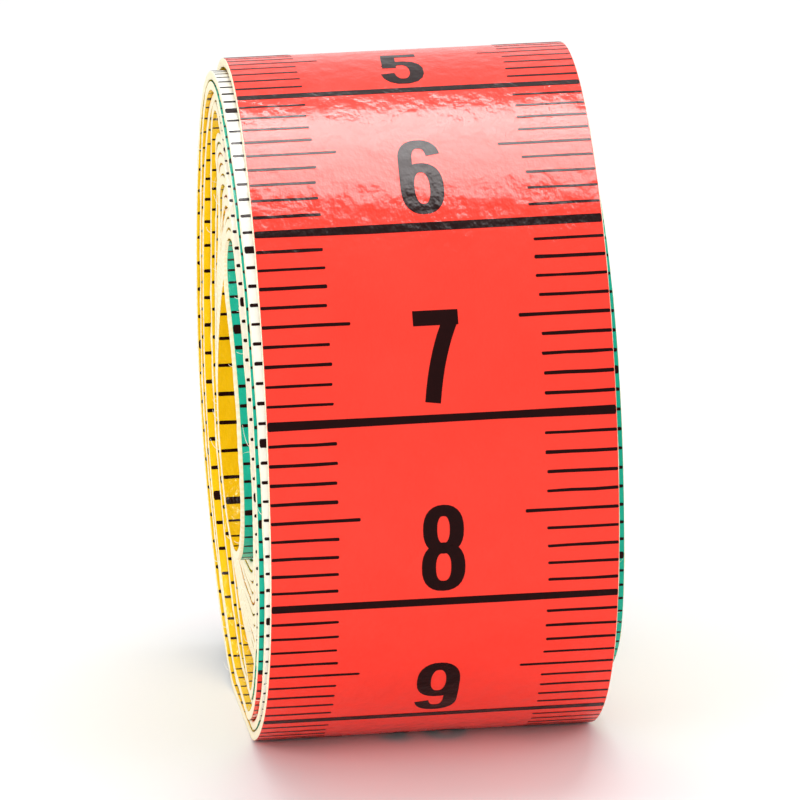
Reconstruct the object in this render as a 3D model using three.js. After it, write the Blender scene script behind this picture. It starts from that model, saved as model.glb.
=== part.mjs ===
// A cloth tape measure, rolled up: a vinyl-coated woven band with a folded metal tip crimped on each end.
//
// The roll's axis is X and the tape's width lies along it. The roll stands on a small flat of its outer turn,
// with the origin in the middle of that flat, under the axis. -Y is the side from which the numbers are read,
// and +Z is up. A direction round the roll is an angle that starts at -Y and climbs over the top (90 degrees)
// to the back (180).
//
// The tape's scale starts at the zero end, low at the back. It climbs the back, passes over the top, comes
// down the front and goes on inwards, turn after turn. The real band is 1500 mm long and lies in about 18
// turns that touch. Here the same ring holds fewer turns, at the true thickness, with air between them.

import * as THREE from "three";

// Driving dimensions, in millimetres and degrees.
const TAPE_WIDTH = 17.9;
const TAPE_THICKNESS = 0.45;

// The roll: its outside where the scale is read, its hole at the inner end, and the least air between turns.
const ROLL_RADIUS = 17.9;
const HOLE_RADIUS = 7.45;
const TURN_GAP = 0.45;
const STEPS_PER_TURN = 36;
const LEAST_STEP = 0.25;

// Which mark of the scale faces the reader, and how far up the front it is.
const READING_MARK = 68.7;
const READING_DIRECTION = 15;

// The roll's own weight presses a flat into the outer turn. The turns inside it are pressed less and less.
const REST_FLAT_DEPTH = 0.5;
const DOWN = 270;

// Turns slip sideways as the tape is rolled by hand. The outer turn runs true past the flat that it stands
// on, and most of the others lie a little to the left of it.
const SIDE_SHIFT = 0.3;
const SIDE_SLIP = 0.48;
const SLIP_PERIOD_TURNS = 3;
const SLIP_STARTS_TURNS = 0.92;
const SLIP_FULL_TURNS = 1.45;

// The free end stands straight off the roll at its tip, and bends along a line across the tape when lifted.
const FREE_STRAIGHT = 10;
const BEND_MARK = 42;
const BEND_GAP = 0.3;

// The inner end turns in from the last turn, then runs straight through its tip. The tip stays clear of the
// hole's wall.
const INNER_BEND_DIRECTION = 75;
const INNER_BEND_RADIUS = 3.5;
const INNER_BEND_STEPS = 6;
const INNER_LEAD = 1.2;
const INNER_TIP_GAP = 0.3;

// Each tip is one strip of sheet metal, folded over the end of the tape and pressed.
const TIP_DEPTH = 6.5;
const TIP_SHEET = 0.3;
const TIP_CLEARANCE = 0.15;
const TIP_OVERHANG = 0.15;
const CRIMP_FROM_MOUTH = 2.2;
const CRIMP_WIDTH = 1.2;
const CRIMP_BITE = 0.1;
const FOLD_SEGMENTS = 8;

const TAPE_RED = 0xff483c;
const TIP_NICKEL = 0xc9c8c2;

// Sizes that follow from those above.
const TURN = 2 * Math.PI;
const stepAngle = TURN / STEPS_PER_TURN;
const tipFoldRadius = TAPE_THICKNESS / 2 + TIP_CLEARANCE + TIP_SHEET;
const tapeStart = tipFoldRadius;

// As many whole turns as fit the ring fill it evenly, from the reading line to the inner end.
const readingRadius = ROLL_RADIUS - TAPE_THICKNESS / 2;
const innerRadius = HOLE_RADIUS + TAPE_THICKNESS / 2;
const ringDepth = readingRadius - innerRadius;
const wholeTurns = Math.floor(ringDepth / (TAPE_THICKNESS + TURN_GAP));
const turnsInside = wholeTurns + (READING_DIRECTION - INNER_BEND_DIRECTION) / 360;
const pitch = ringDepth / turnsInside;

// The scale's zero is the outer edge of the tip's fold, so the band itself starts a fold radius later.
// Winding angle, from where the free end leaves the roll to the reading mark: the spiral's length up to it is
// readingRadius * angle + pitch * angle^2 / (4 pi).
const readingArc = READING_MARK - FREE_STRAIGHT;
const lengthening = pitch / (2 * TURN);
const readingAngle =
  (Math.sqrt(readingRadius ** 2 + 4 * lengthening * readingArc) - readingRadius) / (2 * lengthening);
const startDirection = THREE.MathUtils.degToRad(READING_DIRECTION) + readingAngle;
const startRadius = readingRadius + (pitch * readingAngle) / TURN;
const firstFlat = startDirection - THREE.MathUtils.degToRad(DOWN) + TURN;
const lastAngle = readingAngle + turnsInside * TURN;

/** Radius of the band's middle at a winding angle, before anything presses on it. */
function spiralRadius(angle) {
  return startRadius - (pitch * angle) / TURN;
}

/** Distance of the band's middle below the axis at the middle of the flat with this winding angle. */
function flatHeight(flatAngle) {
  const pressed = REST_FLAT_DEPTH * (1 - (flatAngle - firstFlat) / (lastAngle - firstFlat));
  return spiralRadius(flatAngle) - pressed;
}

/** Outward direction in the plane of the roll, as y and z, at a winding angle. */
function outward(angle) {
  const direction = startDirection - angle;
  return new THREE.Vector2(-Math.cos(direction), Math.sin(direction));
}

/** Direction in which the tape runs on, as y and z, at a winding angle. */
function onward(angle) {
  const direction = startDirection - angle;
  return new THREE.Vector2(-Math.sin(direction), -Math.cos(direction));
}

/** Sideways place of the tape after this winding angle. */
function sideSlip(angle) {
  const turns = angle / TURN;
  const grown = THREE.MathUtils.smoothstep(turns, SLIP_STARTS_TURNS, SLIP_FULL_TURNS);
  const phase = (angle - readingAngle) / SLIP_PERIOD_TURNS;
  return -grown * (SIDE_SHIFT + SIDE_SLIP * Math.sin(phase));
}

/** A cross-section of the band: its middle, which way its outer face looks, and its sideways place. */
function station(middle, facing, side) {
  return { middle, facing, side };
}

/** The station at a winding angle: on the spiral, or lifted on to the flat that is pressed into this turn. */
function bandStation(angle) {
  const facing = outward(angle);
  const middle = facing.clone().multiplyScalar(spiralRadius(angle));
  const flat = firstFlat + TURN * Math.round((angle - firstFlat) / TURN);
  const lowest = -flatHeight(flat);
  if (flat < firstFlat || middle.y > lowest) return station(middle, facing, sideSlip(angle));
  return station(middle.setY(lowest), outward(flat), sideSlip(angle));
}

/** Winding angle at a mark of the scale on the outer turn. */
function angleAtMark(mark) {
  const arc = mark - FREE_STRAIGHT;
  return (startRadius - Math.sqrt(startRadius ** 2 - 4 * lengthening * arc)) / (2 * lengthening);
}

/** Stations between two winding angles. Those between the ends lie in the same directions on every turn. */
function spiralRun(from, to) {
  const first = Math.ceil((from - firstFlat) / stepAngle + LEAST_STEP);
  const last = Math.floor((to - firstFlat) / stepAngle - LEAST_STEP);
  const between = Array.from({ length: last - first + 1 }, (_, i) => firstFlat + (first + i) * stepAngle);
  return [from, ...between, to].map(bandStation);
}

/** The free end: straight through its tip, then round the roll to the line where it bends. */
function freeEndStations() {
  const facing = outward(0);
  const back = onward(0).negate();
  const tipEnd = facing.clone().multiplyScalar(startRadius).addScaledVector(back, FREE_STRAIGHT - tapeStart);
  return [station(tipEnd, facing, sideSlip(0)), ...spiralRun(0, angleAtMark(BEND_MARK - BEND_GAP / 2))];
}

/** The roll: from the bend line inwards to the last turn's end, then the turned-in inner end. */
function rollStations() {
  return [...spiralRun(angleAtMark(BEND_MARK + BEND_GAP / 2), lastAngle), ...innerEndStations()];
}

/** Length that the inner end's straight stretch can have in the hole, if the band turns in by this angle. */
function straightRoom(bend) {
  const arm = innerRadius - INNER_BEND_RADIUS;
  const outerLeaf = arm * Math.cos(bend) + INNER_BEND_RADIUS + tipFoldRadius;
  const clearRadius = HOLE_RADIUS - INNER_TIP_GAP;
  const halfChord = Math.sqrt(Math.max(0, clearRadius ** 2 - outerLeaf ** 2));
  return halfChord + arm * Math.sin(bend) - tipFoldRadius;
}

/** The angle by which the inner end turns in, by halving: the least with room for its lead and its tip. */
function innerBend() {
  let low = 0;
  let high = (2 * Math.PI) / 3;
  while (high - low > 1e-9) {
    const middle = (low + high) / 2;
    if (straightRoom(middle) < INNER_LEAD + TIP_DEPTH) low = middle;
    else high = middle;
  }
  return high;
}

/** The inner end: an arc that turns in from the last turn, then a straight stretch for the tip. */
function innerEndStations() {
  const side = sideSlip(lastAngle);
  const bend = innerBend();
  const centre = outward(lastAngle).multiplyScalar(innerRadius - INNER_BEND_RADIUS);
  const arc = Array.from({ length: INNER_BEND_STEPS }, (_, i) => {
    const facing = outward(lastAngle + (bend * (i + 1)) / INNER_BEND_STEPS);
    return station(centre.clone().addScaledVector(facing, INNER_BEND_RADIUS), facing, side);
  });
  const last = arc[arc.length - 1];
  const end = last.middle.clone().addScaledVector(onward(lastAngle + bend), INNER_LEAD + TIP_DEPTH);
  return [...arc, station(end, last.facing, side)];
}

/** A closed band through the stations: four long sides and two ends. */
function bandGeometry(stations) {
  const positions = [];
  for (const { middle, facing, side } of stations) {
    const outer = middle.clone().addScaledVector(facing, TAPE_THICKNESS / 2);
    const inner = middle.clone().addScaledVector(facing, -TAPE_THICKNESS / 2);
    const left = side - TAPE_WIDTH / 2;
    const right = side + TAPE_WIDTH / 2;
    positions.push(left, outer.x, outer.y, right, outer.x, outer.y);
    positions.push(right, inner.x, inner.y, left, inner.x, inner.y);
  }
  const corners = 4;
  const quad = (a, b, c, d) => [a, b, c, a, c, d];
  const index = quad(0, 1, 2, 3);
  for (let i = 0; i + 1 < stations.length; i++) {
    for (let corner = 0; corner < corners; corner++) {
      const next = (corner + 1) % corners;
      const here = i * corners;
      const there = here + corners;
      index.push(...quad(here + corner, there + corner, there + next, here + next));
    }
  }
  const last = (stations.length - 1) * corners;
  index.push(...quad(last + 3, last + 2, last + 1, last));
  return new THREE.BufferGeometry()
    .setAttribute("position", new THREE.Float32BufferAttribute(positions, 3))
    .setIndex(index);
}

/** Least air between turns, from every station's middle to every stretch of band half a turn away or more. */
function leastGap(stations) {
  const apart = STEPS_PER_TURN / 2;
  let least = Infinity;
  stations.forEach(({ middle }, i) => {
    for (let j = 0; j + 1 < stations.length; j++) {
      if (Math.abs(j - i) < apart) continue;
      const from = stations[j].middle;
      const span = stations[j + 1].middle.clone().sub(from);
      const share = THREE.MathUtils.clamp(middle.clone().sub(from).dot(span) / span.lengthSq(), 0, 1);
      least = Math.min(least, middle.distanceTo(from.clone().addScaledVector(span, share)));
    }
  });
  return least - TAPE_THICKNESS;
}

/** Length of the band through these stations. */
function bandLength(stations) {
  return stations.slice(1).reduce((sum, { middle }, i) => sum + middle.distanceTo(stations[i].middle), 0);
}

/** One leaf of a tip's section, from the mouth to the fold: offsets from its middle plane, with the crimp. */
function leafLine(offset) {
  const dip = offset - CRIMP_BITE;
  const crimp = CRIMP_FROM_MOUTH;
  return [
    [0, offset],
    [crimp - CRIMP_WIDTH / 2, offset],
    [crimp - CRIMP_WIDTH / 4, dip],
    [crimp + CRIMP_WIDTH / 4, dip],
    [crimp + CRIMP_WIDTH / 2, offset],
    [TIP_DEPTH, offset],
  ].map(([along, height]) => new THREE.Vector2(along, height));
}

/** Section of a tip: a strip folded into a U that opens at 0 and closes round the tape's end at TIP_DEPTH. */
function tipSection() {
  const inside = tipFoldRadius - TIP_SHEET;
  const mirrored = (points) => points.map(({ x, y }) => new THREE.Vector2(x, -y)).reverse();
  const fold = (radius) =>
    Array.from({ length: FOLD_SEGMENTS - 1 }, (_, i) => {
      const turn = Math.PI / 2 - (Math.PI * (i + 1)) / FOLD_SEGMENTS;
      return new THREE.Vector2(TIP_DEPTH + radius * Math.cos(turn), radius * Math.sin(turn));
    });
  const wholeLine = (radius) => [...leafLine(radius), ...fold(radius), ...mirrored(leafLine(radius))];
  return new THREE.Shape([...wholeLine(tipFoldRadius), ...wholeLine(inside).reverse()]);
}

/** A tip on the end of the tape: towards is the direction from the tip's mouth to its fold. */
function tipMesh(name, end, towards, side) {
  const width = TAPE_WIDTH + 2 * TIP_OVERHANG;
  const geometry = new THREE.ExtrudeGeometry(tipSection(), { depth: width, bevelEnabled: false });
  geometry.translate(-TIP_DEPTH, 0, -width / 2);
  const mesh = new THREE.Mesh(
    geometry,
    new THREE.MeshStandardMaterial({ color: TIP_NICKEL, roughness: 0.3, metalness: 1 }),
  );
  mesh.name = name;
  const across = new THREE.Vector3(1, 0, 0);
  const along = new THREE.Vector3(0, towards.x, towards.y);
  const basis = new THREE.Matrix4().makeBasis(along, across.clone().cross(along), across);
  mesh.quaternion.setFromRotationMatrix(basis);
  mesh.position.set(side, end.x, end.y);
  return mesh;
}

/** A length of the tape as a mesh. */
function tapeMesh(name, stations) {
  const mesh = new THREE.Mesh(
    bandGeometry(stations),
    new THREE.MeshStandardMaterial({ color: TAPE_RED, roughness: 0.4, metalness: 0 }),
  );
  mesh.name = name;
  return mesh;
}

const freeEnd = freeEndStations();
const roll = rollStations();
const zeroEnd = freeEnd[0];
const innerEnd = roll[roll.length - 1];

const part = new THREE.Group();
part.position.z = flatHeight(firstFlat) + TAPE_THICKNESS / 2;
part.add(
  tapeMesh("tape_roll", roll),
  tapeMesh("tape_free_end", freeEnd),
  tipMesh("zero_end_tip", zeroEnd.middle, onward(0).negate(), zeroEnd.side),
  tipMesh("inner_end_tip", innerEnd.middle, onward(lastAngle + innerBend()), innerEnd.side),
);

const band = [...freeEnd, ...roll];
console.log(`the band: least gap between its ${wholeTurns} turns ${leastGap(band).toFixed(3)} mm`);
console.log(`the band: ${bandLength(band).toFixed(0)} mm long`);

export default part;
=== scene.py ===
# %% [markdown]
# # A cloth tape measure, rolled up
# A dressmaker's tape is one long woven band, coated on both faces with soft PVC, printed on both faces and
# wound on itself. A folded metal tip closes each end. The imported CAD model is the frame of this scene: it has
# the band with fewer turns, so the looks come from the surfaces that are worked out here, in the same place.

import bpy
import numpy as np
from mathutils import Matrix, Vector


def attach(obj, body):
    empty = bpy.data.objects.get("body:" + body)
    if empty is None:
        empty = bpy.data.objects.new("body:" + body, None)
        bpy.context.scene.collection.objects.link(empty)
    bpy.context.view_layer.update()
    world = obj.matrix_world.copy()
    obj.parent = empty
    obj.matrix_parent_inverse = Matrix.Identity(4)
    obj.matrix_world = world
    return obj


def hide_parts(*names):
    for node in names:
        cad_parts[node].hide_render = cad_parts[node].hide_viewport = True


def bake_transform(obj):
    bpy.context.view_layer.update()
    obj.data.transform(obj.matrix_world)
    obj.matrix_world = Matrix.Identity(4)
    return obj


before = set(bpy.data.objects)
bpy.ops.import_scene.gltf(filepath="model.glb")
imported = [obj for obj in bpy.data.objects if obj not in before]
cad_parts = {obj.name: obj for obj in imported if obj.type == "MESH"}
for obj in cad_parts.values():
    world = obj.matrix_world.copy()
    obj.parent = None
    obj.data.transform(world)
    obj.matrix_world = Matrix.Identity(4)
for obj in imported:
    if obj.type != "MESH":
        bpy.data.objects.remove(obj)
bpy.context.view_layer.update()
MM = 0.001

# %% [markdown]
# ## The camera
# The photograph is a close view with a long lens, from a little above and a little to the left of the roll.
# The printed millimetres gave the angles and the distance, so the camera is set from these numbers and not
# by eye. The roll's axis runs along X at the height that the resting flat leaves it.

# %% Camera
AXIS_HEIGHT = 17.131
CAMERA_PITCH = np.radians(15.0)
CAMERA_YAW = np.radians(5.365)
CAMERA_ROLL = np.radians(-1.602)
CAMERA_DISTANCE = 480.0
CAMERA_AIM = Vector((-0.464, 0.0, AXIS_HEIGHT - 0.304))
SENSOR_WIDTH = 36.0
FOCAL_LENGTH = 410.3
NEAREST_SEEN_M = 0.01
FURTHEST_SEEN_M = 20.0

back = Vector((
    -np.sin(CAMERA_YAW) * np.cos(CAMERA_PITCH),
    -np.cos(CAMERA_YAW) * np.cos(CAMERA_PITCH),
    np.sin(CAMERA_PITCH),
))
level_right = Vector((0, 0, 1)).cross(back).normalized()
level_up = back.cross(level_right)
right = level_right * np.cos(CAMERA_ROLL) + level_up * np.sin(CAMERA_ROLL)
up = level_up * np.cos(CAMERA_ROLL) - level_right * np.sin(CAMERA_ROLL)
lens = bpy.data.cameras.new("camera")
lens.sensor_width = SENSOR_WIDTH
lens.lens = FOCAL_LENGTH
lens.clip_start = NEAREST_SEEN_M
lens.clip_end = FURTHEST_SEEN_M
camera = bpy.data.objects.new("camera", lens)
bpy.context.scene.collection.objects.link(camera)
camera.matrix_world = Matrix.Translation((CAMERA_AIM + back * CAMERA_DISTANCE) * MM) @ Matrix(
    (right, up, back)
).transposed().to_4x4()
bpy.context.scene.camera = camera
print("camera at", [round(c, 4) for c in camera.location])

# %% [markdown]
# ## The path of the band
# Seen from its end, the band is a spiral. From the zero tip it runs straight, then lies loosely round the
# roll to the line where the scale is read, then winds inwards in tight turns to the hole, where it turns in
# and ends. Its own weight presses the lowest part of each turn flat. A closed formula for the length of such
# a path would be clumsy, so the path is sampled every half degree and the length is added up along it: after
# that, any mark of the printed scale is found by looking up its length.

# %% Sizes of the band and of the roll, in millimetres, and its turns
TAPE_WIDTH = 17.9
TAPE_THICKNESS = 0.45
ROLL_RADIUS = 17.9
HOLE_RADIUS = 7.45
FREE_STRAIGHT = 10.0
READING_MARK = 68.7
READING_DIRECTION = np.radians(15.0)
CAD_TURNS = 10.0 + 5.0 / 6.0
TURNS_INSIDE = 17.0 + 5.0 / 6.0
TURN_BULGE = 0.1045
FLAT_ROUNDING = 0.12
print("a ring of", round(ROLL_RADIUS - HOLE_RADIUS, 2), "mm holds", round(TURNS_INSIDE, 2), "turns")

# %% The spiral as a function of the winding angle
read_radius = ROLL_RADIUS - TAPE_THICKNESS / 2
inner_radius = HOLE_RADIUS + TAPE_THICKNESS / 2
# The loose stretch falls at the slope of the CAD's fewer turns, so the free end lies where the CAD has it.
free_slope = (read_radius - inner_radius) / CAD_TURNS / (2 * np.pi)
start_radius = np.sqrt(read_radius**2 + 2 * free_slope * (READING_MARK - FREE_STRAIGHT))
read_angle = (start_radius - read_radius) / free_slope
start_direction = READING_DIRECTION + read_angle
last_angle = read_angle + 2 * np.pi * TURNS_INSIDE


def outward(direction):
    """Unit vectors in (y, z) away from the axis: 0 is towards the reader, a quarter turn is up."""
    return np.stack([-np.cos(direction), np.sin(direction)], axis=-1)


def onward(direction):
    """Unit vectors in (y, z) along the band, which runs down the front of the roll."""
    return np.stack([-np.sin(direction), -np.cos(direction)], axis=-1)


def spiral_radius(angle):
    """Radius of the band's middle: falls evenly up to the reading line, then evenly by more turns in the
    same ring. Half a sine wave on top of that makes the middle turns slightly looser."""
    inside = np.clip((angle - read_angle) / (last_angle - read_angle), 0, 1)
    tight = read_radius + (inner_radius - read_radius) * inside + TURN_BULGE * np.sin(np.pi * inside)
    return np.where(angle < read_angle, start_radius - free_slope * angle, tight)


def spiral(angle):
    """Points (y, z) from the axis. A turn's lowest part is lifted to its own flat, whose depth falls
    evenly from the outer turn, which stands on the floor, to nothing at the hole. The larger of two heights
    a and b, with a rounded corner, is half of a + b + the root of (a - b) squared plus a small square."""
    points = spiral_radius(angle)[:, None] * outward(start_direction - angle)
    first_low = start_direction + np.pi / 2
    turn = np.maximum(np.round((angle - first_low) / (2 * np.pi)), 0)
    low = np.minimum(first_low + 2 * np.pi * turn, last_angle)
    depth = spiral_radius(first_low) + TAPE_THICKNESS / 2 - AXIS_HEIGHT
    pressed = depth * (last_angle - low) / (last_angle - first_low)
    flat = pressed - spiral_radius(low)
    rounded = (points[:, 1] + flat + np.hypot(points[:, 1] - flat, FLAT_ROUNDING * pressed / depth)) / 2
    points[:, 1] = np.where(angle > first_low - np.pi / 2, rounded, points[:, 1])
    return points


print("winding angle", round(np.degrees(last_angle), 1), "start radius", round(float(start_radius), 3))

# %% [markdown]
# ## The inner end
# The last centimetres turn in across the hole. They turn by the least angle at which the straight stretch
# with its tip still fits between the walls of the hole, which is found from a row of trial angles.

# %% The inner end's arc and straight stretch
INNER_BEND_RADIUS = 3.5
INNER_STRAIGHT = 7.7
TIP_FOLD_RADIUS = 0.675
TIP_CLEARANCE = 0.3
MOST_TURNED_DEGREES = 120
TRIALS = 12001
ARC_POINTS = 72
STRAIGHT_POINTS = 36

trial = np.radians(np.linspace(0, MOST_TURNED_DEGREES, TRIALS))
arm = inner_radius - INNER_BEND_RADIUS
leaf = arm * np.cos(trial) + INNER_BEND_RADIUS + TIP_FOLD_RADIUS
clear_radius = HOLE_RADIUS - TIP_CLEARANCE
room = np.sqrt(np.maximum(0, clear_radius**2 - leaf**2)) + arm * np.sin(trial) - TIP_FOLD_RADIUS
inner_bend = trial[np.argmax(room >= INNER_STRAIGHT)]
last_direction = start_direction - last_angle


def inner_end():
    """Points (y, z): an arc about a centre on the last turn's radius, then a straight line."""
    turned = np.linspace(0, inner_bend, ARC_POINTS + 1)[1:]
    arc = arm * outward(last_direction) + INNER_BEND_RADIUS * outward(last_direction - turned)
    along = np.linspace(0, INNER_STRAIGHT, STRAIGHT_POINTS + 1)[1:, None]
    return np.concatenate([arc, arc[-1] + along * onward(last_direction - inner_bend)])


print("inner end turns in by", round(np.degrees(inner_bend), 2), "degrees")

# %% [markdown]
# ## How the turns slip sideways
# A hand-rolled tape is never flush at its ends: each turn lies a little to the left or right of the last,
# and the amount changes on its way round. The outer turns and the last one were read off the photograph, as
# pairs of turn and shift. The turns between them make shallow cones, another one for each place on the turn.
# Straight lines join the pairs, and a moving average rounds the corners.

# %% Sideways shift of the turns, in millimetres
OUTER_SLIP = [
    (-1.0, 0.0), (0.15, 0.0), (0.36, -0.60), (0.50, -0.90), (0.58, -0.82), (0.65, -0.72), (0.88, -0.62),
    (0.95, -0.47), (1.0, -0.45), (1.1, -0.21), (1.3, -0.25), (1.5, -0.80), (1.6, -0.58), (1.87, -0.80),
    (1.93, -0.64), (2.0, -0.60), (2.12, -0.50), (2.35, -0.42), (2.5, -0.68), (2.6, -0.50),
    (3.0, -0.30), (3.35, -0.06), (3.5, -0.27), (3.62, -0.10), (3.88, -0.95),
    (4.0, -0.75), (4.12, -0.56), (4.22, -0.40), (4.34, 0.10), (4.42, 0.10), (4.5, -0.09), (4.6, 0.06),
    (4.86, 0.36), (4.93, 0.49), (5.0, 0.54), (5.08, 0.58), (5.13, 0.72), (5.19, 0.83), (5.35, 0.27),
    (5.5, -0.14), (5.61, 0.28),
]
LAST_SLIP = [(16.86, -0.93), (17.0, -0.81), (17.17, -0.60), (17.5, -0.64), (17.78, 0.009)]
MIDDLE_TURNS = np.arange(7, 18)
MIDDLE_PLACES = np.array([-1.0, -0.85, -0.75, -0.65, -0.55, -0.45, -0.38, -0.28])
MIDDLE_FIRST = np.array([-0.56, -0.24, 0.16, 0.38, -0.16, -0.16, 0.38, -0.40])
MIDDLE_LAST = np.array([-0.16, 0.0, 0.20, -0.10, -0.50, -0.50, -0.20, 0.0])
SLIP_SEED = 3
SLIP_UNEVEN = 0.05
SLIP_ROUNDING = 0.04
SLIP_READINGS = 9


def slip_knots():
    """Rows of turn and shift: the outer pairs, then eight places on each middle turn, from the front by way
    of the bottom and the back to the top, which change evenly from the first of these turns to the last,
    and then the last pairs."""
    turn = MIDDLE_TURNS[:, None] + MIDDLE_PLACES
    shift = np.linspace(MIDDLE_FIRST, MIDDLE_LAST, len(MIDDLE_TURNS))
    shift += np.random.default_rng(SLIP_SEED).normal(0, SLIP_UNEVEN, shift.shape)
    return np.concatenate([OUTER_SLIP, np.column_stack([turn.ravel(), shift.ravel()]), LAST_SLIP])


knots = slip_knots()


def sideways(angle):
    """Shift of the band at a winding angle: the mean of nine readings of the knots close about it."""
    turn = (angle - read_angle) / (2 * np.pi)
    near = turn[:, None] + np.linspace(-SLIP_ROUNDING, SLIP_ROUNDING, SLIP_READINGS)
    return np.interp(near, *knots.T).mean(axis=1)


print("knots of the slip", len(knots))

# %% The whole path, and a place for every mark
PATH_STEP = np.radians(0.5)
TAPE_START = TIP_FOLD_RADIUS
LEAD_POINTS = 37

angles = np.append(np.arange(0, last_angle, PATH_STEP), last_angle)
lead = np.linspace(TAPE_START, FREE_STRAIGHT, LEAD_POINTS + 1)[:-1, None] - FREE_STRAIGHT
turns_yz = spiral(angles)
ending = inner_end()
path = np.concatenate([turns_yz[0] + lead * onward(start_direction), turns_yz, ending])
path_mark = TAPE_START + np.append(0, np.cumsum(np.hypot(*np.diff(path, axis=0).T)))
path_slip = sideways(np.concatenate([np.zeros(len(lead)), angles, np.full(len(ending), last_angle)]))
heading = np.gradient(path, path_mark, axis=0)
heading /= np.linalg.norm(heading, axis=1, keepdims=True)
path_facing = np.stack([heading[:, 1], -heading[:, 0]], axis=-1)
LAST_MARK = path_mark[-1]


def place(mark, across, out):
    """Points in mm at a length along the band, a distance to the reader's right of its middle and a height
    above its middle layer: the path's point, plus the height along its facing, plus the slip in x."""
    mark, across, out = np.broadcast_arrays(mark, across, out)
    y, z, face_y, face_z, slip = (
        np.interp(mark, path_mark, column) for column in (*path.T, *path_facing.T, path_slip)
    )
    return np.stack([slip + across, y + out * face_y, AXIS_HEIGHT + z + out * face_z], axis=-1)


print("length of the band", round(LAST_MARK - TAPE_START, 1), "mm")

# %% [markdown]
# ## Materials
# One function turns a written sRGB colour to the linear values that a shader takes, and one adds a node with
# its settings and links. The band's meshes carry the attribute tape_place, which holds the distance across
# and the length along the band in millimetres, so a pattern follows the band round its turns.

# %% Helpers for materials
MIX_FIRST = 6
MIX_SECOND = 7
MIX_RESULT = 2


def linear(hex_colour):
    """sRGB hex to linear RGBA, by the two-part sRGB curve."""
    srgb = np.array([int(hex_colour[i:i + 2], 16) for i in (1, 3, 5)]) / 255
    rgb = np.where(srgb <= 0.04045, srgb / 12.92, ((srgb + 0.055) / 1.055) ** 2.4)
    return (*rgb.tolist(), 1.0)


def new_material(name):
    """A material with its shader and output only; returns it with its tree and its shader."""
    material = bpy.data.materials.new(name)
    material.use_nodes = True
    return material, material.node_tree, material.node_tree.nodes["Principled BSDF"]


def set_inputs(tree, node, inputs):
    """Links a node's socket where an earlier node's output is given for it, and else sets its value."""
    for socket, given in inputs.items():
        if isinstance(given, bpy.types.NodeSocket):
            tree.links.new(given, node.inputs[socket])
        else:
            node.inputs[socket].default_value = given


def add_node(tree, kind, inputs=None, **settings):
    """Adds a node, sets its own properties, and then sets or links its sockets."""
    node = tree.nodes.new(kind)
    for name, value in settings.items():
        setattr(node, name, value)
    set_inputs(tree, node, inputs or {})
    return node


print("material helpers ready")

# %% [markdown]
# ## Coated cloth
# The faces are plasticised PVC, pressed hot on the cloth by rollers. That leaves a satin skin with low
# pebbles, about 0.8 mm across and drawn out a little along the band, in which a highlight breaks into
# patches. A noise texture at that scale gives the bump and makes the gloss uneven.

# %% Calendered PVC in four colours
PEBBLE = 0.8
PEBBLE_STRETCH = 0.75
PEBBLE_HEIGHT = 0.10
BLOTCH = 3.5
COAT_IOR = 1.53
COAT_GLOSS = 0.1
COAT_SMOOTHEST = 0.14
COAT_ROUGHEST = 0.22
NOISE_LOW = 0.3
NOISE_HIGH = 0.7


def pebble_bump(tree, spot):
    """The skin's pebbles as noise over the band, longer than wide, and as a bump."""
    drawn = add_node(tree, "ShaderNodeMapping", {
        "Vector": spot.outputs["Vector"],
        "Scale": (1.0, PEBBLE_STRETCH, 1.0),
    })
    pebbles = add_node(tree, "ShaderNodeTexNoise", {
        "Vector": drawn.outputs["Vector"],
        "Scale": 1 / PEBBLE,
        "Detail": 3.0,
        "Roughness": 0.5,
    })
    bump = add_node(tree, "ShaderNodeBump", {
        "Height": pebbles.outputs["Fac"],
        "Strength": 1.0,
        "Distance": PEBBLE_HEIGHT * MM,
    })
    return pebbles, bump


def coat_material(name, colour, shade):
    """PVC skin: base colour with faint larger blotches, uneven satin gloss and pebbles as bump."""
    material, tree, shader = new_material(name)
    spot = add_node(tree, "ShaderNodeAttribute", attribute_name="tape_place")
    blotch = add_node(tree, "ShaderNodeTexNoise", {
        "Vector": spot.outputs["Vector"],
        "Scale": 1 / BLOTCH,
        "Detail": 3.0,
        "Roughness": 0.6,
    })
    tone = add_node(tree, "ShaderNodeMix", {
        "Factor": blotch.outputs["Fac"],
        MIX_FIRST: linear(colour),
        MIX_SECOND: linear(shade),
    }, data_type="RGBA")
    pebbles, bump = pebble_bump(tree, spot)
    gloss = add_node(tree, "ShaderNodeMapRange", {
        "Value": pebbles.outputs["Fac"],
        "From Min": NOISE_LOW,
        "From Max": NOISE_HIGH,
        "To Min": COAT_SMOOTHEST,
        "To Max": COAT_ROUGHEST,
    })
    set_inputs(tree, shader, {
        "Base Color": tone.outputs[MIX_RESULT],
        "Roughness": gloss.outputs["Result"],
        "Normal": bump.outputs["Normal"],
        "IOR": COAT_IOR,
        "Specular IOR Level": COAT_GLOSS,
    })
    return material


pvc_red = coat_material("pvc_coat_red", "#FF4436", "#FA3C2E")
pvc_white = coat_material("pvc_coat_white", "#FBFBF4", "#F5F4EA")
pvc_teal = coat_material("pvc_coat_teal", "#22BFA6", "#16B099")
pvc_yellow = coat_material("pvc_coat_yellow", "#FFD318", "#F8C60C")
print("coats", [m.name for m in (pvc_red, pvc_white, pvc_teal, pvc_yellow)])

# %% [markdown]
# ## The slit edge
# The band is slit from a wide cloth, so its edges show the cut cream yarn between two thin skins of PVC:
# matt, slightly fluffy, with the ends of the weft about 0.4 mm apart. A wave texture along the band draws
# the yarn ends, and noise breaks it up.

# %% Slit woven edge
YARN_SPACING = 0.4
YARN_WANDER = 2.5
YARN_HEIGHT = 0.06
FLUFF = 5 / 11
YARN_ROUGHNESS = 0.85


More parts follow.
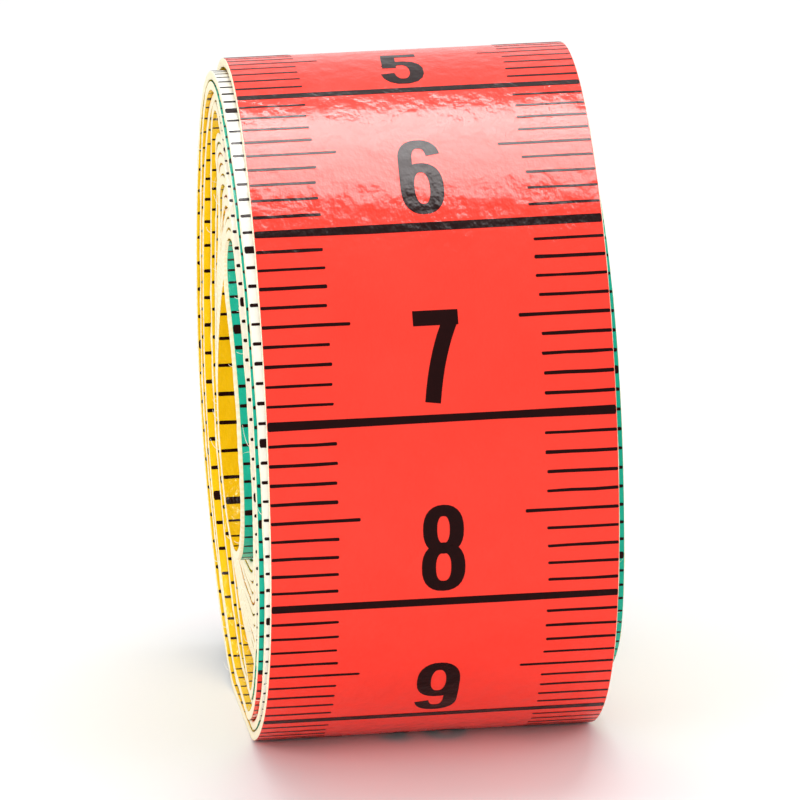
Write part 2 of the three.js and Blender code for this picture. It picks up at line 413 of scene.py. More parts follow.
def edge_material():
    """Cut yarn: cream ends with darker gaps along the band, rough, with the same wave as bump. A wave texture
    of scale 1 repeats every pi / 10, so its scale here is pi / 10 over the spacing of the yarn."""
    material, tree, shader = new_material("slit_woven_edge")
    spot = add_node(tree, "ShaderNodeAttribute", attribute_name="tape_place")
    yarn = add_node(tree, "ShaderNodeTexWave", {
        "Vector": spot.outputs["Vector"],
        "Scale": np.pi / (10 * YARN_SPACING),
        "Distortion": YARN_WANDER,
        "Detail": 2.0,
    }, bands_direction="Y")
    fluff = add_node(tree, "ShaderNodeTexNoise", {
        "Vector": spot.outputs["Vector"],
        "Scale": 1 / FLUFF,
        "Detail": 3.0,
    })
    mixed = add_node(tree, "ShaderNodeMath", {
        0: yarn.outputs["Fac"],
        1: fluff.outputs["Fac"],
    }, operation="MULTIPLY")
    tone = add_node(tree, "ShaderNodeMix", {
        "Factor": mixed.outputs["Value"],
        MIX_FIRST: linear("#F5E7C0"),
        MIX_SECOND: linear("#FFFAEA"),
    }, data_type="RGBA")
    bump = add_node(tree, "ShaderNodeBump", {
        "Height": mixed.outputs["Value"],
        "Strength": 1.0,
        "Distance": YARN_HEIGHT * MM,
    })
    set_inputs(tree, shader, {
        "Base Color": tone.outputs[MIX_RESULT],
        "Normal": bump.outputs["Normal"],
        "Roughness": YARN_ROUGHNESS,
    })
    return material


slit_edge = edge_material()
print("edge material", slit_edge.name)

# %% [markdown]
# ## From arrays to a piece
# Every piece here is an array of points and an array of faces, so two helpers serve all of them: one joins
# rings of corners by quads, and one makes the mesh. A piece stays at the origin, with its place in its mesh.

# %% Helpers for meshes
def ring_quads(here, following, turned=False):
    """Quads from each ring of corner numbers to the next, with every ring closed on itself. Turned, they run
    the other way round, for rings that do."""
    quads = np.stack([here, following, np.roll(following, -1, -1), np.roll(here, -1, -1)], -1).reshape(-1, 4)
    return quads[:, [0, 3, 2, 1]] if turned else quads


def new_piece(name, points, faces, materials, spots=None):
    """An object from points in mm, lists of corner numbers and materials. spots are the places of its points
    on the band, for the attribute tape_place."""
    mesh = bpy.data.meshes.new(name)
    mesh.from_pydata((points.reshape(-1, 3) * MM).tolist(), [], faces)
    for material in materials:
        mesh.materials.append(material)
    if spots is not None:
        attribute = mesh.attributes.new("tape_place", "FLOAT_VECTOR", "POINT")
        attribute.data.foreach_set("vector", spots.astype(np.float32).ravel())
    mesh.update()
    piece = bpy.data.objects.new(name, mesh)
    bpy.context.scene.collection.objects.link(piece)
    return piece


print("mesh helpers ready")

# %% [markdown]
# ## The band as a mesh
# A section of fourteen points, two for each coated face and five for each rounded edge, is carried along the
# path. The skin ends just short of the edge, where it is worn back, and the edge itself wanders by a few
# hundredths of a millimetre. The front is coloured in blocks of ten centimetres, the back is one colour.

# %% Section of the band
FRONT = 1
BACK = -1
SKIN_MARGIN = 0.04
INNER_WEAR = 0.15
INNER_WEAR_FROM = 1412.0
INNER_WEAR_FULL = 1430.0
EDGE_ROUND = 0.03
EDGE_WANDER = 0.012
ARC_IN = np.array([1, 0.25, 0, 0.25, 1])
ARC_OUT = np.array([1, 0.6, 0, -0.6, -1])
WANDER_SEED = 11
wander = np.random.default_rng(WANDER_SEED)


def skin_reach(mark, face):
    """Half width of the skin on a face: the band's half width less a margin, which grows on the front of the
    last turn, where it is worn."""
    worn = np.clip((mark - INNER_WEAR_FROM) / (INNER_WEAR_FULL - INNER_WEAR_FROM), 0, 1)
    wear = INNER_WEAR if face == FRONT else 0.0
    return TAPE_WIDTH / 2 - (SKIN_MARGIN + wear * worn)


def band_section(mark):
    """Points (across, out) for each station: the ends of a face's skin, then an edge as a flat arc of five
    points, then the same for the back and the other edge."""
    half = TAPE_WIDTH / 2
    skin = TAPE_THICKNESS / 2
    front, rear = skin_reach(mark, FRONT), skin_reach(mark, BACK)
    arc = EDGE_ROUND * ARC_IN
    arc_out = skin * ARC_OUT
    ragged = wander.normal(0, EDGE_WANDER, (2, len(mark), 1))
    right_edge = half - arc + ragged[0] * (arc < EDGE_ROUND)
    left_edge = -half + arc + ragged[1] * (arc < EDGE_ROUND)
    across = np.column_stack([-front, front, right_edge, rear, -rear, left_edge])
    out = np.concatenate([[skin, skin], arc_out, [-skin, -skin], arc_out[::-1]])
    return across, np.broadcast_to(out, across.shape)


print("skin ends", SKIN_MARGIN, "mm short of the edge")

# %% Section carried along the path
COLOUR_BLOCK = 100.0
COATS = [pvc_red, pvc_white, pvc_teal, pvc_yellow, slit_edge]
FRONT_COLOURS = 3
BACK_COAT = 3
EDGE_COAT = 4
FRONT_STRIP = 0
BACK_STRIP = 7
END_STATIONS = np.array([0.0, 0.06, 0.18, 0.42, 0.90])
END_REACH = 1.5
FREE_LAST_MARK = 48.0
ROLL_STATION_EVERY = 6
FREE_STATION_EVERY = 2


def tape_band(name, first, last, every):
    """The band between two marks, with a station at every so many samples of the path, closed at both ends,
    with a coat for each stretch of each face. The rims of the end faces are sharp, so that the gloss runs on
    unbroken where two stretches meet."""
    blocks = np.arange(0, LAST_MARK, COLOUR_BLOCK)
    inside, blocks = (m[(m > first + END_REACH) & (m < last - END_REACH)] for m in (path_mark, blocks))
    mark = np.unique(np.concatenate([first + END_STATIONS, inside[::every], blocks, last - END_STATIONS]))
    across, out = band_section(mark)
    rows, ring = across.shape
    corner = np.arange(rows * ring).reshape(rows, ring)
    ends = [corner[0].tolist(), corner[-1][::-1].tolist()]
    faces = ring_quads(corner[:-1], corner[1:]).tolist() + ends
    coat = np.full((rows - 1, ring), EDGE_COAT)
    coat[:, FRONT_STRIP] = (mark[:-1] + mark[1:]) / 2 // COLOUR_BLOCK % FRONT_COLOURS
    coat[:, BACK_STRIP] = BACK_COAT
    spots = np.stack([across, np.broadcast_to(mark[:, None], across.shape), out], -1)
    piece = new_piece(name, place(mark[:, None], across, out), faces, COATS, spots)
    mesh = piece.data
    coats = np.append(coat.ravel(), [EDGE_COAT, EDGE_COAT])
    mesh.polygons.foreach_set("material_index", coats.astype(np.int32))
    mesh.polygons.foreach_set("use_smooth", np.append(np.ones(coat.size, bool), [False, False]))
    edge_corners = np.empty(2 * len(mesh.edges), np.int32)
    mesh.edges.foreach_get("vertices", edge_corners)
    edge_row = edge_corners.reshape(-1, 2) // ring
    rim = (edge_row == 0).all(1) | (edge_row == rows - 1).all(1)
    mesh.edges.foreach_set("use_edge_sharp", rim)
    mesh.update()
    return piece


roll_tape = tape_band("roll_tape", FREE_LAST_MARK, LAST_MARK, ROLL_STATION_EVERY)
free_tape = tape_band("free_end_tape", TAPE_START, FREE_LAST_MARK, FREE_STATION_EVERY)
print("faces of the band", len(roll_tape.data.polygons), len(free_tape.data.polygons))

# %% [markdown]
# ## The print
# The scale is screen-printed: black ink that stands a hundredth of a millimetre proud and takes the gloss of
# the skin. Every line, tick and digit is a ribbon, a flat strip with a left and a right edge that is carried
# along the band and closed below the skin. A whole set of ribbons of one shape is worked out at once.

# %% Screen ink
INK_PATCH = 1 / 3
INK_ROUGHNESS = 0.24
INK_GLOSS = 0.07


def ink_material():
    """Screen ink on PVC: near black, slightly brown where thin, with the skin's pebbles and gloss."""
    material, tree, shader = new_material("screen_ink_black")
    spot = add_node(tree, "ShaderNodeAttribute", attribute_name="tape_place")
    cover = add_node(tree, "ShaderNodeTexNoise", {
        "Vector": spot.outputs["Vector"],
        "Scale": 1 / INK_PATCH,
        "Detail": 3.0,
    })
    tone = add_node(tree, "ShaderNodeMix", {
        "Factor": cover.outputs["Fac"],
        MIX_FIRST: linear("#180303"),
        MIX_SECOND: linear("#220606"),
    }, data_type="RGBA")
    _, bump = pebble_bump(tree, spot)
    set_inputs(tree, shader, {
        "Base Color": tone.outputs[MIX_RESULT],
        "Normal": bump.outputs["Normal"],
        "Roughness": INK_ROUGHNESS,
        "Specular IOR Level": INK_GLOSS,
    })
    return material


ink = ink_material()
print("ink", ink.name)

# %% Ribbons of ink
INK_PROUD = 0.012
INK_SUNK = 0.010


def ribbons(left, right, face, closed=False):
    """Solids from arrays of edge points, ribbon by station by (across as read, mark). On the back, the
    reader's right is the band's left. Each station has four corners: left below, left above, right above,
    right below."""
    level = face * TAPE_THICKNESS / 2 + face * np.array([-INK_SUNK, INK_PROUD, INK_PROUD, -INK_SUNK])
    edge = np.stack([left, left, right, right], axis=2)
    across, mark = face * edge[..., 0], edge[..., 1]
    points = place(mark, across, level)
    spots = np.stack([across, mark, np.broadcast_to(level, mark.shape)], -1)
    corner = np.arange(mark.size).reshape(mark.shape)
    here = corner if closed else corner[:, :-1]
    following = np.roll(corner, -1, 1) if closed else corner[:, 1:]
    faces = ring_quads(here, following, turned=True)
    if not closed:
        faces = np.concatenate([faces, corner[:, 0, [0, 3, 2, 1]], corner[:, -1]])
    return points.reshape(-1, 3), spots.reshape(-1, 3), faces


def ink_piece(name, parts):
    """One mesh from several sets of ribbons, each set's corner numbers shifted past those before it."""
    points, spots, faces = zip(*parts)
    firsts = np.cumsum([0] + [len(p) for p in points])
    faces = np.concatenate([f + first for f, first in zip(faces, firsts)])
    return new_piece(name, np.concatenate(points), faces.tolist(), [ink], np.concatenate(spots))


print("ink stands", INK_PROUD, "mm proud")

# %% [markdown]
# ## The digits
# The figures are a bold, narrow sans serif, 2.23 by 4.67 mm. A font would bring its own letter shapes and a
# mesh that does not follow the band, so each figure is a few strokes: a centre line of lines, curves and
# squarish bows, widened to both sides. Upright strokes are wider than level ones, as in the real print.

# %% Strokes
UPRIGHT = 0.72
LEVEL = 0.60
SQUARENESS = 2.4
LINE_STEP = 0.45
LEAST_CORNER = 0.6
RING_POINTS = 29


def bow(middle, reach, first, last, count=15):
    """Part of a superellipse: a cosine and a sine, each raised to 2 / SQUARENESS with its sign kept."""
    turn = np.radians(np.linspace(first, last, count))
    wave = np.stack([np.cos(turn), np.sin(turn)], -1)
    return np.array(middle) + np.array(reach) * np.sign(wave) * np.abs(wave) ** (2 / SQUARENESS)


def sweep(start, pull, end, count=9):
    """A quadratic curve from start to end, drawn towards pull."""
    t = np.linspace(0, 1, count)[:, None]
    return (1 - t) ** 2 * np.array(start) + 2 * t * (1 - t) * np.array(pull) + t**2 * np.array(end)


def line(*points):
    """Straight pieces through the given points, cut into short steps so that they can bend with the band."""
    points = np.array(points, float)
    counts = np.ceil(np.linalg.norm(np.diff(points, axis=0), axis=1) / LINE_STEP).astype(int)
    cuts = [np.linspace(a, b, n, endpoint=False) for a, b, n in zip(points, points[1:], counts)]
    return np.vstack(cuts + [points[-1:]])


def widen(centre, upright=UPRIGHT, level=LEVEL, closed=False):
    """Left and right edges of a stroke: half of the upright width where the normal is level and half of
    the level width where it is upright, and further out at a corner, so that both sides stay parallel."""
    step = np.diff(np.vstack([centre, centre[:1]]) if closed else centre, axis=0)
    step /= np.linalg.norm(step, axis=1, keepdims=True)
    before = np.roll(step, 1, 0) if closed else np.vstack([step[:1], step])
    after = step if closed else np.vstack([step, step[-1:]])
    mean = before + after
    mean /= np.linalg.norm(mean, axis=1, keepdims=True)
    corner = np.maximum((mean * after).sum(1, keepdims=True), LEAST_CORNER)
    normal = np.stack([-mean[:, 1], mean[:, 0]], -1)
    half = np.hypot(upright * normal[:, :1], level * normal[:, 1:]) / 2 / corner
    return centre + normal * half, centre - normal * half, closed


def ring(middle, reach):
    """A closed bow."""
    return widen(bow(middle, reach, 0, 360, RING_POINTS)[:-1], closed=True)


print("strokes", UPRIGHT, "mm wide upright and", LEVEL, "mm level")

# %% Centre lines of the figures, in millimetres from the lower left corner
FIGURE_WIDTH = 2.23
FIGURE_HEIGHT = 4.67

six = np.vstack([
    bow((1.125, 3.38), (0.735, 1.07), 12, 180),
    line((0.37, 2.4)),
    bow((1.115, 1.52), (0.755, 1.30), 180, 532, RING_POINTS),
])
two = np.vstack([
    bow((1.115, 3.38), (0.755, 1.06), 176, -22),
    sweep((1.7, 2.55), (1.2, 1.5), (0.5, 0.5)),
])
FIGURES = {
    "0": [ring((1.115, 2.335), (0.755, 2.11))],
    "1": [widen(line((1.32, 0), (1.32, 4.67))), widen(line((0.42, 3.52), (1.3, 4.28)), level=0.66)],
    "2": [widen(two), widen(line((0.08, 0.31), (2.15, 0.31)), level=0.62)],
    "3": [
        widen(bow((1.08, 3.42), (0.745, 1.02), 172, -88)),
        widen(bow((1.08, 1.34), (0.79, 1.12), 88, -172)),
    ],
    "4": [
        widen(line((1.5, 4.3), (0.4, 1.25), (2.23, 1.25)), level=0.58),
        widen(line((1.52, 0), (1.52, 4.67))),
    ],
    "5": [
        widen(line((2.05, 4.36), (0.6, 4.36), (0.5, 2.1)), level=0.62),
        widen(bow((1.1, 1.54), (0.77, 1.32), 150, -172)),
    ],
    "6": [widen(six)],
    "7": [
        widen(line((0, 4.28), (2.31, 4.28)), level=0.78),
        widen(sweep((1.96, 4.24), (1.08, 2.5), (0.785, 0.0)), upright=0.80),
    ],
    "8": [ring((1.115, 3.42), (0.685, 1.04)), ring((1.115, 1.29), (0.755, 1.12))],
    "9": [widen(np.array([FIGURE_WIDTH, FIGURE_HEIGHT]) - six)],
}
print("figures", "".join(FIGURES))

# %% [markdown]
# ## The two scales
# The front counts centimetres from the zero tip: a line right across at each one, the number just before it,
# and millimetre ticks on both edges. The back counts inches with sixteenths. Figures are set out first, as
# rows of number, place and figure, so that each stroke is then made for all its numbers at once.

# %% Lines and ticks of one scale
LINE_WIDTH = 0.46
LINE_END = 0.05
END_TAPER = np.array([0.6, 1, 1, 1, 1, 0.6])
BAR_UNEVEN = 0.05
WIDTH_UNEVEN = 0.07
MIDDLE_UNEVEN = 0.007
LENGTH_UNEVEN = 0.04
INK_SHORT = 0.02
PRINT_OFFSET = -0.09
PRINT_SEED = 5
uneven = np.random.default_rng(PRINT_SEED)


def cross_lines(marks, left, right, width, face):
    """Bars across the band, one for each mark, from left to right as read. A bar has six stations: its ends
    are narrower, and its width and its middle wander a little, as with ink that is pressed through a mesh."""
    left, right = (np.broadcast_to(end, len(marks))[:, None] for end in (left, right))
    inset = LINE_END / (right - left)
    none = 0 * inset
    share = np.hstack([none, inset, none + 1 / 3, none + 2 / 3, 1 - inset, none + 1])
    bar = width / 2 * END_TAPER * uneven.normal(1, BAR_UNEVEN, (len(marks), 1))
    half = bar * uneven.normal(1, WIDTH_UNEVEN, share.shape)
    middle = marks[:, None] + uneven.normal(0, MIDDLE_UNEVEN, share.shape)
    across = left * (1 - share) + right * share
    return ribbons(np.stack([across, middle - half], -1), np.stack([across, middle + half], -1), face)


def edge_ticks(marks, length, width, face, offset):
    """Ticks at both edges: each reaches inwards by its length, and all are shifted by the print's offset."""
    reach = skin_reach(marks, face) - INK_SHORT
    inner = TAPE_WIDTH / 2 - length + uneven.normal(0, LENGTH_UNEVEN, len(marks))
    return [
        cross_lines(marks, -reach, offset - inner, width, face),
        cross_lines(marks, offset + inner, reach, width, face),
    ]


print("print offset", PRINT_OFFSET, "mm")

# %% Numbers of one scale
FIGURE_GAP = 0.40
BASE_BEFORE_LINE = 0.80


def numbers(values, spacing, face, size=1.0):
    """Strokes of the numbers, each number centred across the band with its base just before its line."""
    rows = [(n, i, len(str(n)), figure) for n in values for i, figure in enumerate(str(n))]
    pitch = FIGURE_WIDTH + FIGURE_GAP
    parts = []
    for figure, strokes in FIGURES.items():
        here = np.array([row[:3] for row in rows if row[3] == figure], float)
        if not len(here):
            continue
        corner = size * (here[:, 1] * pitch - (here[:, 2] * pitch - FIGURE_GAP) / 2) + PRINT_OFFSET
        base = here[:, 0] * spacing - BASE_BEFORE_LINE
        for left, right, closed in strokes:
            edges = [
                np.stack([corner[:, None] + size * e[:, 0], base[:, None] - size * e[:, 1]], -1)
                for e in (left, right)
            ]
            parts.append(ribbons(*edges, face, closed))
    return parts


print("figures stand", BASE_BEFORE_LINE, "mm before their line")

# %% Centimetres on the front
CENTIMETRE = 10.0
FIRST_TICK = 1.0
LAST_TICK = 1500.0
MM_TICK = 3.59
HALF_TICK = 4.76
TICK_WIDTH = 0.168
PRINT_SPLIT = 52.0


def centimetre_print(first, last):
    """Lines, ticks and numbers of the centimetre scale whose marks lie between first and last."""
    marks = np.arange(np.ceil(first), np.floor(last) + 1)
    whole = marks % CENTIMETRE == 0
    five = marks % CENTIMETRE == CENTIMETRE / 2
    reach = skin_reach(marks[whole], FRONT) - INK_SHORT
    parts = [cross_lines(marks[whole], -reach, reach, LINE_WIDTH, FRONT)]
    parts += edge_ticks(marks[five], HALF_TICK, TICK_WIDTH, FRONT, PRINT_OFFSET)
    parts += edge_ticks(marks[~whole & ~five], MM_TICK, TICK_WIDTH, FRONT, PRINT_OFFSET)
    return parts + numbers([int(m // CENTIMETRE) for m in marks[whole]], CENTIMETRE, FRONT)


free_cm_ink = ink_piece("free_end_centimetres", centimetre_print(FIRST_TICK, PRINT_SPLIT))
roll_cm_ink = ink_piece("roll_centimetres", centimetre_print(PRINT_SPLIT + 1, LAST_TICK))
print("centimetre print", len(free_cm_ink.data.polygons), len(roll_cm_ink.data.polygons), "faces")

# %% Inches on the back
INCH = 25.4
PARTS_PER_INCH = 16
SIXTEENTH = INCH / PARTS_PER_INCH
INCH_TICKS = {1: 3.2, 2: 4.0, 4: 4.8, 8: 5.6}
INCH_TICK_WIDTH = 0.20
INCH_FIGURE_SIZE = 1.2
INCH_OFFSET = 0.0


def inch_print(first, last):
    """The inch scale between two marks: sixteenths on both edges, longer for eighths, quarters and halves."""
    steps = np.arange(np.ceil(first / SIXTEENTH), np.floor(last / SIXTEENTH) + 1)
    whole = steps[steps % PARTS_PER_INCH == 0]
    reach = skin_reach(whole * SIXTEENTH, BACK) - INK_SHORT
    parts = [cross_lines(whole * SIXTEENTH, -reach, reach, LINE_WIDTH, BACK)]
    for part, length in INCH_TICKS.items():
        chosen = steps[steps % (2 * part) == part]
        parts += edge_ticks(chosen * SIXTEENTH, length, INCH_TICK_WIDTH, BACK, INCH_OFFSET)
    return parts + numbers([int(w // PARTS_PER_INCH) for w in whole], INCH, BACK, INCH_FIGURE_SIZE)


free_inch_ink = ink_piece("free_end_inches", inch_print(FIRST_TICK, PRINT_SPLIT))
roll_inch_ink = ink_piece("roll_inches", inch_print(PRINT_SPLIT + 1, LAST_TICK))
print("inch print", len(free_inch_ink.data.polygons), len(roll_inch_ink.data.polygons), "faces")

# %% [markdown]
# ## Loose fibres
# Where the slit edge has rubbed, single glass and cotton fibres stand out from it. They are hair-thin tubes
# of three sides, each on a curve that leaves the edge and droops to one side, with seeded places and lengths.

# %% Fibre material
FIBRE_PATCH = 10 / 9
FIBRE_ROUGHNESS = 0.6


def fibre_material():
    """Bare glass and cotton fibre: white, with creamier stretches about a millimetre long."""
    material, tree, shader = new_material("glass_fibre_white")
    spot = add_node(tree, "ShaderNodeTexCoord")
    patch = add_node(tree, "ShaderNodeTexNoise", {
        "Vector": spot.outputs["Object"],
        "Scale": 1 / (FIBRE_PATCH * MM),
    })
    tone = add_node(tree, "ShaderNodeMix", {
        "Factor": patch.outputs["Fac"],
        MIX_FIRST: linear("#FFFDF6"),
        MIX_SECOND: linear("#EFE6D2"),
    }, data_type="RGBA")
    set_inputs(tree, shader, {
        "Base Color": tone.outputs[MIX_RESULT],
        "Roughness": FIBRE_ROUGHNESS,
    })
    return material


fibre_white = fibre_material()
print("fibre material", fibre_white.name)

# %% Fibres on both edges of the roll
FIBRE_COUNT = 260
FIBRE_SEED = 23
FIBRE_RADIUS = 0.014
FIBRE_TAPER = 0.5
FIBRE_RINGS = 6
FIBRE_FIRST_MARK = 60
FIBRE_CLEAR_OF_END = 20
FIBRE_LENGTH = (0.25, 1.1)
FIBRE_SHARE = (0.4, 1.0)
FIBRE_LEAN = 0.7
FIBRE_LIFT = 0.5
FIBRE_LEVEL = 0.6
ROOT_DEPTH = 0.03
PULL_REACH = 0.35
TIP_REACH = 0.5
RING_AXIS = np.array([1.0, 0.0, -1.0])


def fibre_tubes(count):
    """Tubes round quadratic curves: a root in the edge, a pull straight out of it and a drooping end. A ring
    is tilted half way between x and z, so that it crosses the fibre whether that runs out or up. A fibre's
    volume is its steps along the rings' axis times its section, and where that sum is negative its rings run
    the other way round, so that its faces point outwards."""
    chance = np.random.default_rng(FIBRE_SEED)
    mark = chance.uniform(FIBRE_FIRST_MARK, LAST_MARK - FIBRE_CLEAR_OF_END, count)
    side = chance.choice([-1.0, 1.0], count)
    long = chance.uniform(*FIBRE_LENGTH, count) * chance.uniform(*FIBRE_SHARE, count)
    along = chance.normal(0, FIBRE_LEAN, count) * long
    lift = chance.normal(0, FIBRE_LIFT, count) * long
    level = chance.uniform(-FIBRE_LEVEL, FIBRE_LEVEL, count) * TAPE_THICKNESS / 2
    root = place(mark, side * (TAPE_WIDTH / 2 - ROOT_DEPTH), level)[:, None]
    pull = place(mark, side * (TAPE_WIDTH / 2 + PULL_REACH * long), level)[:, None]
    tip = place(mark + along, side * (TAPE_WIDTH / 2 + TIP_REACH * long), level + lift)[:, None]
    t = np.linspace(0, 1, FIBRE_RINGS)[None, :, None]
    centre = (1 - t) ** 2 * root + 2 * t * (1 - t) * pull + t**2 * tip
    radius = FIBRE_RADIUS * np.linspace(1, FIBRE_TAPER, FIBRE_RINGS)
    section = radius[:-1] ** 2 + radius[:-1] * radius[1:] + radius[1:] ** 2
    through = np.einsum("ijk,j,k->i", np.diff(centre, axis=1), section, RING_AXIS)
    spin = np.sign(through)[:, None] * np.radians([0, 120, 240])
    shape = np.stack([np.sin(spin), np.cos(spin), np.sin(spin)], -1)[:, None]
    return centre[:, :, None] + radius[:, None, None] * shape


def fibre_piece():
    """Joins the rings of every tube by quads and closes both ends by a triangle."""
    points = fibre_tubes(FIBRE_COUNT)
    corner = np.arange(points.size // 3).reshape(points.shape[:3])
    sides = ring_quads(corner[:, :-1], corner[:, 1:], turned=True)
    faces = sides.tolist() + corner[:, 0, ::-1].tolist() + corner[:, -1].tolist()
    return new_piece("loose_fibres", points, faces, [fibre_white])


fibres = fibre_piece()
print("fibres", FIBRE_COUNT)

# %% [markdown]
# ## The metal tips
# The tips are thin brass, folded, pressed with two crimp lines and nickel plated in a barrel: a warm grey
# metal, bright but with fine rubbing marks. Their CAD shape is right, so the nodes stay and get this finish.
# Real rubbing marks are too fine to show here, so they are drawn eight times as wide.

# %% Nickel plate on the CAD tips
RUB_WIDTH = 0.05
RUB_COARSER = 8
RUB_STRETCH = 0.12
RUB_DEPTH = 0.01
DULL_PATCH = 10 / 3
PLATE_SMOOTHEST = 0.30
PLATE_ROUGHEST = 0.38


def nickel_material():
    """Plated brass: metallic, with fine scratches along the tip's length and dull patches from handling."""
    material, tree, shader = new_material("nickel_plated_brass")
    spot = add_node(tree, "ShaderNodeTexCoord")
    stretch = add_node(tree, "ShaderNodeMapping", {
        "Vector": spot.outputs["Object"],
        "Scale": (RUB_STRETCH, 1.0, 1.0),
    })
    rubs = add_node(tree, "ShaderNodeTexNoise", {
        "Vector": stretch.outputs["Vector"],
        "Scale": 1 / (RUB_WIDTH * MM) / RUB_COARSER,
        "Detail": 4.0,
    })
    dull = add_node(tree, "ShaderNodeTexNoise", {
        "Vector": spot.outputs["Object"],
        "Scale": 1 / (DULL_PATCH * MM),
        "Detail": 3.0,
    })
    gloss = add_node(tree, "ShaderNodeMapRange", {
        "Value": dull.outputs["Fac"],
        "From Min": NOISE_LOW,
        "From Max": NOISE_HIGH,
        "To Min": PLATE_SMOOTHEST,
        "To Max": PLATE_ROUGHEST,
    })
    tone = add_node(tree, "ShaderNodeMix", {
        "Factor": dull.outputs["Fac"],
        MIX_FIRST: linear("#BDBAB2"),
        MIX_SECOND: linear("#B0ACA2"),
    }, data_type="RGBA")
    bump = add_node(tree, "ShaderNodeBump", {
        "Height": rubs.outputs["Fac"],
        "Strength": 0.5,
        "Distance": RUB_DEPTH * MM,
    })
    set_inputs(tree, shader, {
        "Base Color": tone.outputs[MIX_RESULT],
        "Roughness": gloss.outputs["Result"],
        "Normal": bump.outputs["Normal"],
        "Metallic": 1.0,
    })
    return material


nickel = nickel_material()
for tip in ("zero_end_tip", "inner_end_tip"):
    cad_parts[tip].data.materials.clear()
    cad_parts[tip].data.materials.append(nickel)
print("tips plated with", nickel.name)

# %% [markdown]
# ## What each piece rides on
# The roll's pieces move with the roll. The free end's cloth and print are left with their places baked into
# their meshes. The points of the band at 44 and 36 mm, eight millimetres about the line at 42 mm, are found and
# printed; most of that stretch lies on the free side of the line, because cloth on the other side turns down
# into the turn below it.

# %% Bodies, replaced nodes and cloth
BLEND_FROM = 44.0
BLEND_TO = 36.0
blend_start = (place(BLEND_FROM, 0, 0) * MM).tolist()
blend_end = (place(BLEND_TO, 0, 0) * MM).tolist()
for piece in (roll_tape, roll_cm_ink, roll_inch_ink, fibres):
    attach(piece, "roll")
for piece in (free_tape, free_cm_ink, free_inch_ink):
    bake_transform(piece)
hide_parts("tape_roll")
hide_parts("tape_free_end")
print("blend from", blend_start, "to", blend_end)

# %% [markdown]
# ## Floor and light
# The photograph has a white ground and soft light from all sides. The floor is a wide white disc that keeps
# the shadow under the roll and fades into the world further out, and the world is an even white. One soft
# lamp overhead and one on each side of the reader shape the light. The pale, patchy band on the upper front
# is the mirror image of a panel above the roll. That panel is seen in the gloss only, so it does not make the
# colours brighter than they are, and it lights the coated band only, because it would burn out the tips.

# %% Floor
FLOOR_RADIUS = 3000.0
FLOOR_HUB = 20.0
FLOOR_RINGS = 8
FLOOR_SPOKES = 64
FLOOR_ROUGHNESS = 0.9
FLOOR_GLOSS = 0.1
FADE_FROM = 120.0
FADE_TO = 300.0


def ground_material():
    """Matt white paper, which turns evenly from solid to clear between two distances from the middle."""
    material, tree, shader = new_material("white_paper_ground")
    set_inputs(tree, shader, {
        "Base Color": linear("#F4F4F4"),
        "Roughness": FLOOR_ROUGHNESS,
        "Specular IOR Level": FLOOR_GLOSS,
    })
    spot = add_node(tree, "ShaderNodeTexCoord")
    distance = add_node(tree, "ShaderNodeVectorMath", {0: spot.outputs["Object"]}, operation="LENGTH")
    fade = add_node(tree, "ShaderNodeMapRange", {
        "Value": distance.outputs["Value"],
        "From Min": FADE_FROM * MM,
        "From Max": FADE_TO * MM,
    })
    clear = add_node(tree, "ShaderNodeBsdfTransparent")
    ground = add_node(tree, "ShaderNodeMixShader", {
        0: fade.outputs["Result"],
        1: shader.outputs["BSDF"],
        2: clear.outputs["BSDF"],
    })
    set_inputs(tree, tree.nodes["Material Output"], {"Surface": ground.outputs["Shader"]})
    return material


def floor_disc():
    """A flat disc of rings and spokes: a point is its ring's radius along its spoke's direction."""
    turn = np.linspace(0, 2 * np.pi, FLOOR_SPOKES, endpoint=False)
    rings = np.linspace(FLOOR_HUB, FLOOR_RADIUS, FLOOR_RINGS)[:, None]
    points = np.stack([rings * np.cos(turn), rings * np.sin(turn), 0 * rings * turn], -1)
    corner = np.arange(FLOOR_RINGS * FLOOR_SPOKES).reshape(FLOOR_RINGS, FLOOR_SPOKES)
    faces = ring_quads(corner[:-1], corner[1:]).tolist() + [corner[0].tolist()]
    return new_piece("floor", points, faces, [ground_material()])


floor = floor_disc()
print("floor radius", FLOOR_RADIUS, "mm")

# %% White world
WORLD_LIGHT = 0.60
WORLD_SEEN = 1.0

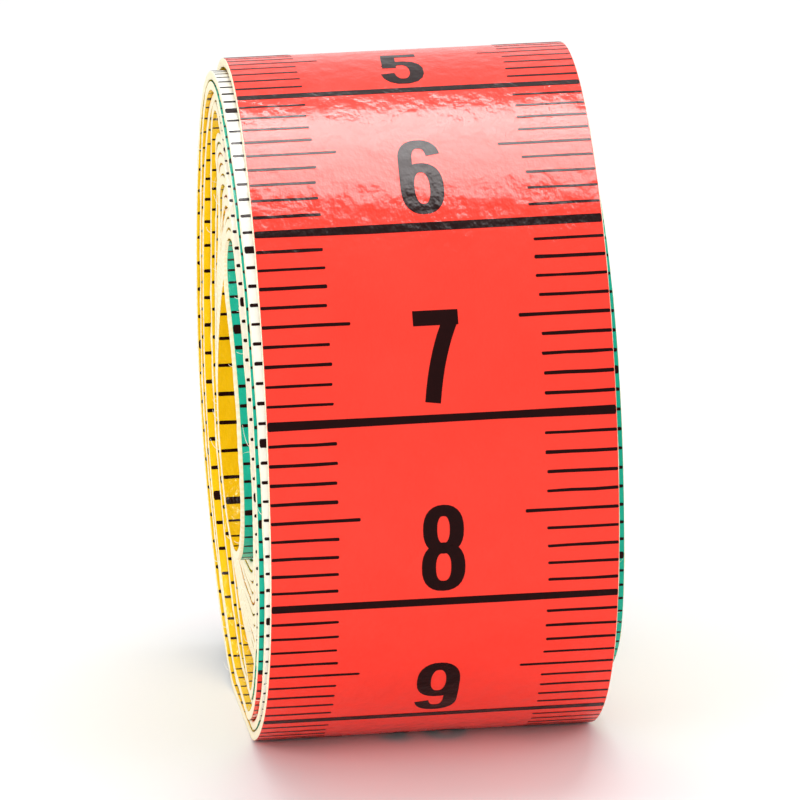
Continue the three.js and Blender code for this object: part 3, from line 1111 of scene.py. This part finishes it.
world = bpy.data.worlds.new("white_studio")
bpy.context.scene.world = world
world.use_nodes = True
sky = world.node_tree
ray = add_node(sky, "ShaderNodeLightPath")
shown = add_node(sky, "ShaderNodeMath", {
    0: ray.outputs["Is Camera Ray"],
    1: ray.outputs["Is Glossy Ray"],
}, operation="MAXIMUM")
shown_all = add_node(sky, "ShaderNodeMath", {
    0: shown.outputs["Value"],
    1: ray.outputs["Is Transmission Ray"],
}, operation="MAXIMUM")
strength = add_node(sky, "ShaderNodeMapRange", {
    "Value": shown_all.outputs["Value"],
    "To Min": WORLD_LIGHT,
    "To Max": WORLD_SEEN,
})
set_inputs(sky, sky.nodes["Background"], {
    "Color": (1.0, 1.0, 1.0, 1.0),
    "Strength": strength.outputs["Result"],
})
print("the world lights at", WORLD_LIGHT, "and is seen at", WORLD_SEEN)

# %% Soft lamps, in metres and watts
def softbox(name, place_m, size_m, watts):
    """A rectangular lamp that looks at the middle of the roll."""
    data = bpy.data.lights.new(name, "AREA")
    data.shape = "RECTANGLE"
    data.size, data.size_y = size_m
    data.energy = watts
    lamp = bpy.data.objects.new(name, data)
    bpy.context.scene.collection.objects.link(lamp)
    lamp.location = place_m
    lamp.rotation_mode = "QUATERNION"
    lamp.rotation_quaternion = (Vector((0, 0, AXIS_HEIGHT * MM)) - lamp.location).to_track_quat("-Z", "Y")
    return lamp


overhead = softbox("overhead_softbox", (0.02, 0.06, 0.34), (0.24, 0.24), 0.7)
left_lamp = softbox("left_softbox", (-0.30, -0.25, 0.14), (0.30, 0.30), 0.76)
right_lamp = softbox("right_softbox", (0.30, -0.20, 0.15), (0.30, 0.30), 0.3)
sheen = softbox("sheen_panel", (0.03, 0.067, 0.33), (0.22, 0.22), 3.9)
sheen.visible_diffuse = False
glossy_band = bpy.data.collections.new("glossy_band")
for piece in (roll_tape, free_tape, roll_cm_ink, free_cm_ink, roll_inch_ink, free_inch_ink):
    glossy_band.objects.link(piece)
sheen.light_linking.receiver_collection = glossy_band
bpy.context.scene.view_settings.view_transform = "Standard"
print("lamps", overhead.name, left_lamp.name, right_lamp.name, sheen.name)
